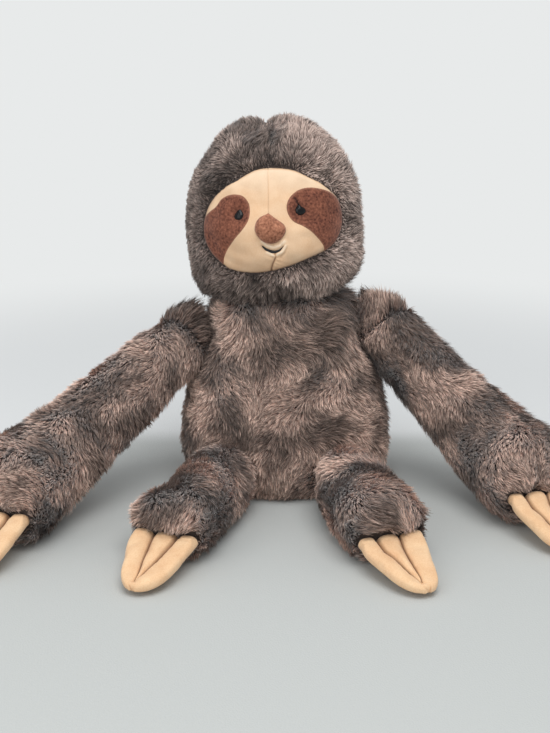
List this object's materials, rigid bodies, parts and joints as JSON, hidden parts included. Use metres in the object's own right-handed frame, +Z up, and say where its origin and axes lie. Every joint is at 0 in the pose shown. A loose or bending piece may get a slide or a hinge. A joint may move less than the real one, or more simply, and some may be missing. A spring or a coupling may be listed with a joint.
{
  "type": "plush sloth",
  "caption": "Seated long-armed plush sloth with a hooded round head, pale face with eye patches, and stitched claw mitts on hands and feet.",
  "frame": {"origin": "middle of the flat seat, on the surface the sloth sits on", "axes": "+Z up, -Y the way the face looks, +X to the sloth's own left"},
  "size_m": [0.5317, 0.3369, 0.3437],
  "materials": {
    "plush_cover": "long shaggy pile, greyish brown",
    "face_velboa": "short pile, beige",
    "claw_velboa": "short pile, beige",
    "patch_velboa": "short pile, brown",
    "nose_velboa": "short pile, brown",
    "eye_plastic": "gloss black",
    "satin_thread": "black satin stitch",
    "fibre_filling": "loose white fibre",
    "pouch_cloth": "woven cloth round plastic pellets",
    "washer_plastic": "plain moulded"
  },
  "bodies": {
    "body": {"body_back_panel": "plush_cover", "body_filling": "fibre_filling", "body_front_panel": "plush_cover", "pellet_pouch": "pouch_cloth", "seat_panel": "plush_cover"},
    "neck": {"neck_filling": "fibre_filling"},
    "head": {"eye_left": "eye_plastic", "eye_patch_left": "patch_velboa", "eye_patch_right": "patch_velboa", "eye_right": "eye_plastic", "eye_washer_left": "washer_plastic", "eye_washer_right": "washer_plastic", "face_left_panel": "face_velboa", "face_right_panel": "face_velboa", "head_filling": "fibre_filling", "head_left_panel": "plush_cover", "head_right_panel": "plush_cover", "mouth": "satin_thread", "nose": "nose_velboa"},
    "shoulder_left": {"shoulder_left_filling": "fibre_filling"},
    "arm_left": {"arm_left_back_panel": "plush_cover", "arm_left_filling": "fibre_filling", "arm_left_front_panel": "plush_cover"},
    "hand_left": {"claws_left_hand": "claw_velboa"},
    "hip_left": {"hip_left_filling": "fibre_filling"},
    "leg_left": {"leg_left_filling": "fibre_filling", "leg_left_sole_panel": "plush_cover", "leg_left_upper_panel": "plush_cover"},
    "foot_left": {"claws_left_foot": "claw_velboa"},
    "shoulder_right": {"shoulder_right_filling": "fibre_filling"},
    "arm_right": {"arm_right_back_panel": "plush_cover", "arm_right_filling": "fibre_filling", "arm_right_front_panel": "plush_cover"},
    "hand_right": {"claws_right_hand": "claw_velboa"},
    "hip_right": {"hip_right_filling": "fibre_filling"},
    "leg_right": {"leg_right_filling": "fibre_filling", "leg_right_sole_panel": "plush_cover", "leg_right_upper_panel": "plush_cover"},
    "foot_right": {"claws_right_foot": "claw_velboa"}
  },
  "joints": [
    {"name": "neck_turn", "type": "hinge", "parent": "body", "child": "neck", "pos_m": [0, 0, 0.14], "axis": [0, 0, 1], "range_deg": [-30, 30], "stiffness_Nm_per_rad": 0.8},
    {"name": "neck_nod", "type": "hinge", "parent": "neck", "child": "head", "pos_m": [0, 0, 0.14], "axis": [1, 0, 0], "range_deg": [-12, 14], "stiffness_Nm_per_rad": 4},
    {"name": "shoulder_left_swing", "type": "hinge", "parent": "body", "child": "shoulder_left", "pos_m": [0.09532, -0.012, 0.148], "axis": [0, 0, -1], "range_deg": [-35, 8]},
    {"name": "shoulder_left_raise", "type": "hinge", "parent": "shoulder_left", "child": "arm_left", "pos_m": [0.09532, -0.012, 0.148], "axis": [-0.2419, -0.9703, 0], "range_deg": [0, 75]},
    {"name": "hand_left_flex", "type": "hinge", "parent": "arm_left", "child": "hand_left", "pos_m": [0.22193, -0.13293, 0.029], "axis": [-0.9703, -0.2419, 0], "range_deg": [0, 30]},
    {"name": "hip_left_swing", "type": "hinge", "parent": "body", "child": "hip_left", "pos_m": [0.057, -0.086, 0.0295], "axis": [0, 0, -1], "range_deg": [-12, 12]},
    {"name": "hip_left_lift", "type": "hinge", "parent": "hip_left", "child": "leg_left", "pos_m": [0.057, -0.086, 0.0295], "axis": [-0.9945, -0.1045, 0], "range_deg": [0, 30]},
    {"name": "foot_left_flex", "type": "hinge", "parent": "leg_left", "child": "foot_left", "pos_m": [0.08651, -0.20244, 0.021], "axis": [-0.9397, -0.342, 0], "range_deg": [0, 30]},
    {"name": "shoulder_right_swing", "type": "hinge", "parent": "body", "child": "shoulder_right", "pos_m": [-0.09959, -0.012, 0.138], "axis": [0, 0, 1], "range_deg": [-35, 8]},
    {"name": "shoulder_right_raise", "type": "hinge", "parent": "shoulder_right", "child": "arm_right", "pos_m": [-0.09959, -0.012, 0.138], "axis": [-0.5, 0.866, 0], "range_deg": [0, 75]},
    {"name": "hand_right_flex", "type": "hinge", "parent": "arm_right", "child": "hand_right", "pos_m": [-0.24285, -0.17628, 0.029], "axis": [-0.9703, 0.2419, 0], "range_deg": [0, 30]},
    {"name": "hip_right_swing", "type": "hinge", "parent": "body", "child": "hip_right", "pos_m": [-0.057, -0.086, 0.0295], "axis": [0, 0, 1], "range_deg": [-12, 12]},
    {"name": "hip_right_lift", "type": "hinge", "parent": "hip_right", "child": "leg_right", "pos_m": [-0.057, -0.086, 0.0295], "axis": [-0.9205, 0.3907, 0], "range_deg": [0, 30]},
    {"name": "foot_right_flex", "type": "hinge", "parent": "leg_right", "child": "foot_right", "pos_m": [-0.10082, -0.19874, 0.021], "axis": [-0.9397, 0.342, 0], "range_deg": [0, 30]}
  ]
}
